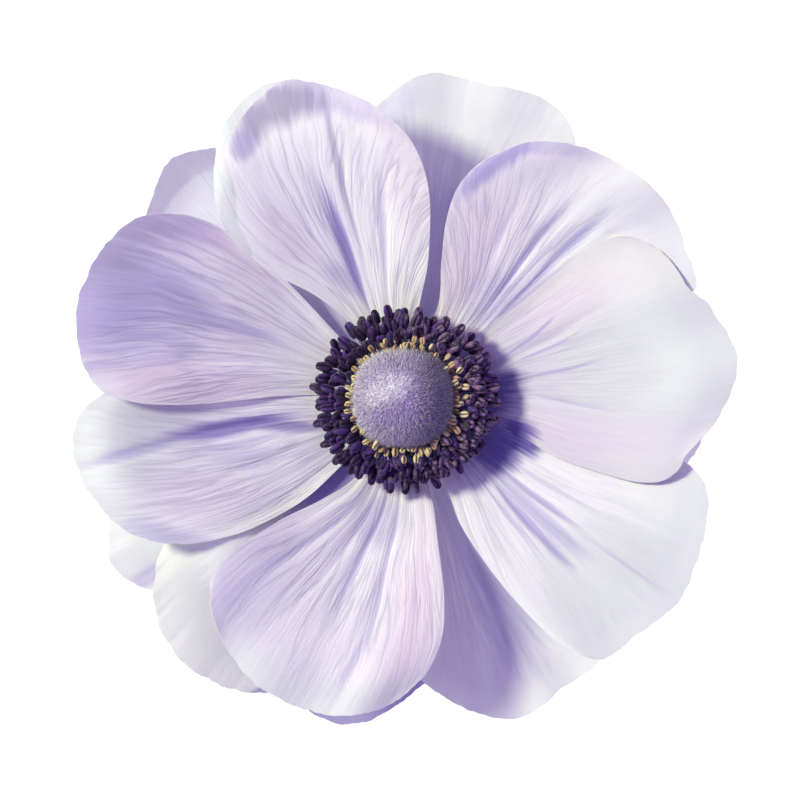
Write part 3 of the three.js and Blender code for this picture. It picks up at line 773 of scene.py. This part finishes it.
# Dark stamens
# Crowded rows of purple-black anthers on thin violet filaments, which leave a ring round the
# receptacle and bend outwards. An anther is a bead of two lobes with a groove on its upper side.
RING_MIDDLE, RING_HALF_WIDTH, RING_FLATNESS = 5.1, 1.85, 0.16
DARK_SEAT = 10.2
FILAMENT_SIDES, FILAMENT_STEPS = 5, 5
ANTHER_PLUMPNESS, ANTHER_FLATNESS = 2.6, 0.8
DARK_ANTHER = {"width": 1.22, "length": 2.2, "groove": 0.45, "filament": 0.13}
DARK_ROWS = [
    {"count": 32, "root": 5.4, "tip": 8.6, "height": 15.1, "lean": 50},
    {"count": 36, "root": 5.7, "tip": 9.2, "height": 15.0, "lean": 42},
    {"count": 40, "root": 5.9, "tip": 10.0, "height": 14.5, "lean": 30},
    {"count": 40, "root": 6.1, "tip": 10.7, "height": 13.8, "lean": 20},
    {"count": 38, "root": 6.4, "tip": 11.3, "height": 13.0, "lean": 10},
    {"count": 36, "root": 6.6, "tip": 11.4, "height": 11.9, "lean": 0},
]


def anther_model(width, length, groove):
    """An anther that stands on the origin, along Z. Its level is 0 in the groove and 1 on the lobes."""
    bpy.ops.mesh.primitive_uv_sphere_add(segments=12, ring_count=5, radius=1)
    piece = bpy.context.object
    lobes = []
    for vertex in piece.data.vertices:
        x, y, z = vertex.co
        lobes.append(min(1.0, abs(x) / 0.4) if abs(z) < 0.95 else 0.6)
        plump = 0
        if abs(z) < 0.999:
            plump = (1 - abs(z) ** ANTHER_PLUMPNESS) ** (1 / ANTHER_PLUMPNESS)
            plump /= max(math.sqrt(1 - z * z), 0.01)
        sunk = groove * math.exp(-(x / 0.25) ** 2) * (1 if y > 0 else -0.6)
        y = ANTHER_FLATNESS * y - sunk * ANTHER_FLATNESS
        vertex.co = (x * plump * width / 2, y * plump * width / 2, (z + 1) * length / 2)
    return Model(piece, lobes)


def filament_model():
    """A straight stalk of unit radius and length, to be bent."""
    bpy.ops.mesh.primitive_cylinder_add(vertices=FILAMENT_SIDES, radius=1, depth=1,
                                        location=(0, 0, 0.5))
    bpy.ops.object.transform_apply(location=True)
    bpy.ops.object.mode_set(mode="EDIT")
    for step in range(1, FILAMENT_STEPS):
        bpy.ops.mesh.select_all(action="SELECT")
        bpy.ops.mesh.bisect(plane_co=(0, 0, step / FILAMENT_STEPS), plane_no=(0, 0, 1))
    bpy.ops.object.mode_set(mode="OBJECT")
    return Model(bpy.context.object)


def bent_filament(model, start, end, side, radius):
    """The filament's points along a curve that leaves its root steeply and bends over to the anther."""
    bend = start.lerp(end, 0.45) + Vector((0, 0, 0.2 * (end - start).length))
    start, bend, end, side = (np.array(point) for point in (start, bend, end, side))
    t = model.points[:, 2:]
    middle = (1 - t) ** 2 * start + 2 * t * (1 - t) * bend + t**2 * end
    ahead = (1 - t) * (bend - start) + t * (end - bend)
    ahead /= np.linalg.norm(ahead, axis=1)[:, None]
    wide = radius * (1.3 - 0.5 * t)
    return middle + wide * (model.points[:, :1] * side + model.points[:, 1:2] * np.cross(ahead, side))


def make_stamens(name, seat, anther, rows, finishes, seed):
    """Rows of bent filaments with their anthers, on a flat ring that joins them at its seat."""
    draw = random.Random(seed)
    bpy.ops.mesh.primitive_torus_add(major_radius=RING_MIDDLE, minor_radius=RING_HALF_WIDTH,
                                     major_segments=STEM_SIDES, minor_segments=12)
    ring = Model(bpy.context.object)
    cluster = Cluster()
    flat = ring.points * (1, 1, RING_FLATNESS) + np.array([0, 0, seat])
    cluster.add(ring, settled(flat), 0.0, slot=1)
    pod = anther_model(anther["width"], anther["length"], anther["groove"])
    thread = filament_model()
    for number, row in enumerate(rows):
        step = 2 * math.pi / row["count"]
        for k in range(row["count"]):
            azimuth = (k + number * 0.4 + draw.uniform(-0.3, 0.3)) * step
            out = Vector((math.cos(azimuth), math.sin(azimuth), 0))
            side = Vector((-out.y, out.x, 0))
            lean = math.radians(row["lean"] + draw.uniform(-16, 16))
            along = out * math.cos(lean) + side * draw.uniform(-0.35, 0.35)
            along += Vector((0, 0, math.sin(lean)))
            along.normalize()
            size = draw.uniform(0.85, 1.12)
            tip = out * (row["tip"] + draw.uniform(-0.8, 0.4))
            tip.z = row["height"] + draw.uniform(-0.6, 0.4)
            neck = tip - along * anther["length"] * size
            root = out * row["root"] + Vector((0, 0, seat))
            roll = azimuth + math.pi / 2 + draw.uniform(-1, 1)
            cluster.seat(pod, neck, along, size, draw.random(), roll)
            bent = bent_filament(thread, root, neck + along * 0.15, side, anther["filament"])
            cluster.add(thread, settled(bent), draw.random(), slot=1)
    return cluster.piece(name, *finishes)


def anther_finish(name, dark, light, groove, dust, dustiness):
    """Skin between two colours by the anther's own number, with painted shade in its groove, and pale
    pollen dust, more of it on the east side as painted light on the faces turned to the key light.
    """
    finish = Finish(name)
    own, lobe = finish.parts(finish.node("TexCoord", output=2))
    here = finish.node("TexCoord", output=3)
    east = finish.node("SeparateXYZ", Vector=here)
    grain = finish.noise(here, 2600, 3.0, 0.6)
    coarse = finish.noise(here, 700, 2.0)
    colour = finish.mix(finish.ease(own + (grain - 0.5) * 0.6, 0.2, 0.9), dark, light)
    # Painted light: more pale dust on the east side, whose anthers turn their faces to the light.
    painted_lit_side = finish.ease(east, AXIS.x - 4 * MM, AXIS.x + 8 * MM) * 0.8 + 0.1
    dust_and_lit_side = finish.ease(grain + coarse - own * 0.25, 0.75, 1.1) * painted_lit_side * dustiness
    colour = finish.mix(dust_and_lit_side, colour, dust)
    # Painted shade in the groove between the lobes.
    colour = finish.mix(finish.ease(lobe, 0.75, 0.1), colour, groove)
    finish.wear(Base_Color=colour, Roughness=0.35 + grain * 0.35, Normal=finish.bump(grain, 0.5, 0.1),
                Specular_IOR_Level=0.25, Sheen_Weight=0.1)
    return finish.material


dark = make_stamens(
    "dark_ring_of_stamens", DARK_SEAT, DARK_ANTHER, DARK_ROWS,
    [
        anther_finish("dark_anther_finish", paint(34, 13, 60), paint(74, 44, 110),
                      paint(14, 5, 30), paint(158, 122, 160), 0.85),
        hair_finish("dark_filament_finish", paint(54, 38, 110), paint(176, 178, 238)),
    ],
    seed=7,
)
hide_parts("dark_stamens")
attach(dark, "root")

# Yellow stamens
# A close inner ring of smaller straw-coloured anthers, split open along their grooves. They stand
# round the foot of the pistil head on short filaments.
YELLOW_SEAT = 11.1
YELLOW_ANTHER = {"width": 0.76, "length": 1.1, "groove": 0.9, "filament": 0.09}
YELLOW_ROWS = [
    {"count": 50, "root": 5.2, "tip": 6.9, "height": 15.0, "lean": 40},
    {"count": 42, "root": 5.4, "tip": 7.6, "height": 15.1, "lean": 24},
]
yellow = make_stamens(
    "yellow_ring_of_stamens", YELLOW_SEAT, YELLOW_ANTHER, YELLOW_ROWS,
    [
        anther_finish("yellow_anther_finish", paint(188, 160, 112), paint(234, 220, 172),
                      paint(112, 82, 84), paint(206, 146, 150), 0.7),
        hair_finish("yellow_filament_finish", paint(96, 76, 116), paint(205, 190, 170)),
    ],
    seed=19,
)
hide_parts("yellow_stamens")
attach(yellow, "root")

# Pistil head
# A dome crowded with tiny carpels on a firm core, under a fine down that leans outwards.
# The carpels are set by the golden angle, as on the real head, and the down hides most of that order.
DOME_RADIUS = 5.85
DOME_SQUARENESS, DOME_NARROWING = 0.025, 0.03
DOME_MIDDLE = 14.4
DOME_CROWN = 3.75
DOME_SHIFT = (-0.3, 0.15)
DOME_REACH = math.radians(112)
DOME_FULLNESS = 0.85
CARPELS = 1300
DOWN_HAIRS = 11000
GOLDEN_ANGLE = math.pi * (3 - math.sqrt(5))
# Pale ovals: partly the down's own pale colour, partly painted highlight where the light falls.
BLOOMS_AND_HIGHLIGHTS = [(-2.6, 0.3, 2.6, 1.9, 10), (-0.2, 1.9, 2.0, 1.6, 20)]  # pale ovals, about the dome's middle


def dome_point(reach, azimuth, scale=1.0):
    """A point on the dome, by its share of the way from the crown down to the foot."""
    angle = reach * DOME_REACH
    out = scale * DOME_RADIUS * abs(math.sin(angle)) ** DOME_FULLNESS
    out *= 1 - DOME_SQUARENESS * math.cos(4 * azimuth) - DOME_NARROWING * math.sin(azimuth) ** 2
    x, y = DOME_SHIFT
    height = DOME_MIDDLE + scale * DOME_CROWN * math.cos(angle)
    return Vector((x + math.cos(azimuth) * out, y + math.sin(azimuth) * out, height))


def carpel_model():
    """A low six-sided cone with a rounded shoulder."""
    bpy.ops.mesh.primitive_cone_add(vertices=6, radius1=0.2, radius2=0.1, depth=0.3,
                                    location=(0, 0, 0.15))
    bpy.ops.object.transform_apply(location=True)
    bpy.ops.object.mode_set(mode="EDIT")
    bpy.ops.mesh.select_all(action="SELECT")
    bpy.ops.mesh.bevel(offset=0.04, segments=1)
    bpy.ops.object.mode_set(mode="OBJECT")
    return Model(bpy.context.object)


def pistil_finish(name, low, high):
    """Paler towards the tips, paler in the blooms, which are partly painted highlight, and with painted
    shade on the side away from the light.
    """
    finish = Finish(name)
    own, level = finish.parts(finish.node("TexCoord", output=2))
    here = finish.node("TexCoord", output=3)
    patchy = finish.noise(here, 420, 3.0)
    fine = finish.noise(here, 1500, 2.0)
    colour = finish.mix(finish.ease(level + (own - 0.5) * 1.1, 0.0, 0.9), low, high)
    colour = finish.mix(finish.ease(patchy, 0.5, 0.7) * 0.3, colour, paint(152, 142, 142))
    east = finish.node("SeparateXYZ", Vector=here)
    # Painted shade on the side away from the light.
    far_side = finish.ease(east + (fine - 0.5) * 2 * MM, AXIS.x, AXIS.x + 4 * MM)
    colour = finish.mix(far_side * (0.9 - own * 0.5), colour, paint(80, 60, 110))
    colour = finish.mix(finish.ease(own, 0.68, 0.85) * 0.4, colour, paint(88, 66, 116))
    centre = tuple(place(*DOME_SHIFT, 0))
    middle = finish.node("VectorMath", {"operation": "SUBTRACT"}, _0=here, _1=centre)
    for *sizes, turn in BLOOMS_AND_HIGHLIGHTS:
        spread = finish.oval(middle, *(size * MM for size in sizes), turn)
        # Painted highlight, over the pale colour of the blooms.
        bloom_and_highlight = finish.ease(spread + (fine - 0.5) * 1.4 + (patchy - 0.5) * 1.2, 1.4, 0.1)
        colour = finish.mix(bloom_and_highlight * (level * 0.25 + 0.6), colour, paint(240, 236, 247))
    finish.wear(Base_Color=colour, Roughness=0.6, Sheen_Weight=0.9)
    return finish.material


def make_pistil():
    """The core, the carpels on it and the down between and over them."""
    draw = random.Random(5)
    bpy.ops.mesh.primitive_uv_sphere_add(segments=STEM_SIDES, ring_count=24, radius=1)
    core = bpy.context.object
    for vertex in core.data.vertices:
        azimuth = math.atan2(vertex.co.y, vertex.co.x)
        vertex.co = dome_point(math.acos(max(-1, min(1, vertex.co.z))) / DOME_REACH, azimuth)
    core = Model(core, np.zeros(len(core.data.vertices)))
    cluster = Cluster()
    cluster.add(core, settled(core.points), 0.5, slot=1)
    hair = hair_model(radius=0.04, length=0.75)
    # Each with its count, how deep it sits, how far it strays and leans down the dome, and its slot
    shapes = [(carpel_model(), CARPELS, 0.1, 0.15, 0.25, 1), (hair, DOWN_HAIRS, 0.0, 0.55, 1.1, 0)]
    for model, count, sunk, stray, sweep, slot in shapes:
        for k in range(count):
            reach = math.sqrt((k + 0.5) / count) + draw.uniform(-0.5, 0.5) / math.sqrt(count)
            azimuth = k * GOLDEN_ANGLE + draw.uniform(-0.05, 0.05)
            foot = dome_point(max(reach, 0.001), azimuth)
            along = (foot - dome_point(max(reach, 0.001), azimuth, 0.8)).normalized()
            down = (dome_point(reach + 0.03, azimuth) - foot).normalized()
            lean = sweep * min(reach * 1.6, 1, max(0.2, 2 - 2.2 * reach))
            along += down * lean * draw.uniform(0.5, 1.2)
            along += Vector([draw.uniform(-stray, stray) for _ in range(3)])
            along.normalize()
            foot -= along * sunk
            cluster.seat(model, foot, along, draw.uniform(0.7, 1.15), draw.random(), slot=slot)
    return cluster.piece(
        "pistil_head",
        pistil_finish("pistil_down_finish", paint(176, 152, 212), paint(250, 242, 255)),
        pistil_finish("carpel_finish", paint(146, 120, 182), paint(188, 164, 222)),
    )


pistil = make_pistil()
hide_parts("pistil_dome")
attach(pistil, "root")

# Floor and light
# A plain white floor that glows, so that shadows on it stay pale. One low key light from the upper
# left throws the stamens' shadow over the tepals on the right, and a violet glow fills it.
bpy.ops.mesh.primitive_plane_add(size=6)
floor = bpy.context.object
floor.name = "floor"
plain = Finish("floor_finish")
plain.wear(Base_Color=(0.2, 0.2, 0.2), Roughness=0.9, Specular_IOR_Level=0.0,
           Emission_Color=(1.0, 1.0, 1.0), Emission_Strength=0.94)
floor.data.materials.append(plain.material)

KEY_AZIMUTH, KEY_ELEVATION = 157, 39  # degrees
tilt = math.radians(90 - KEY_ELEVATION)
bpy.ops.object.light_add(type="SUN", rotation=(0, tilt, math.radians(KEY_AZIMUTH)))
key = bpy.context.object.data
key.energy = 3.45
key.angle = math.radians(12)
key.color = (0.94, 1.0, 0.66)

world = bpy.data.worlds.new("glow")
world.use_nodes = True
background = world.node_tree.nodes["Background"]
background.inputs["Color"].default_value = (0.6, 0.5, 1.0, 1)
background.inputs["Strength"].default_value = 0.58
bpy.context.scene.world = world
bpy.context.scene.view_settings.view_transform = "Standard"

# Camera
# Straight above the flower, from far enough away to see it almost without perspective.
LENS = 300
SENSOR = 36
FOCUS = (-0.6, -0.12)  # the picture's middle
FOCUS_HEIGHT = 13  # of the front tepals
VIEW_WIDTH = 96.7  # millimetres across the picture, at that height
bpy.ops.object.camera_add(location=place(*FOCUS, FOCUS_HEIGHT + VIEW_WIDTH * LENS / SENSOR))
camera = bpy.context.object
camera.data.lens = LENS
camera.data.sensor_width = SENSOR
bpy.context.scene.camera = camera
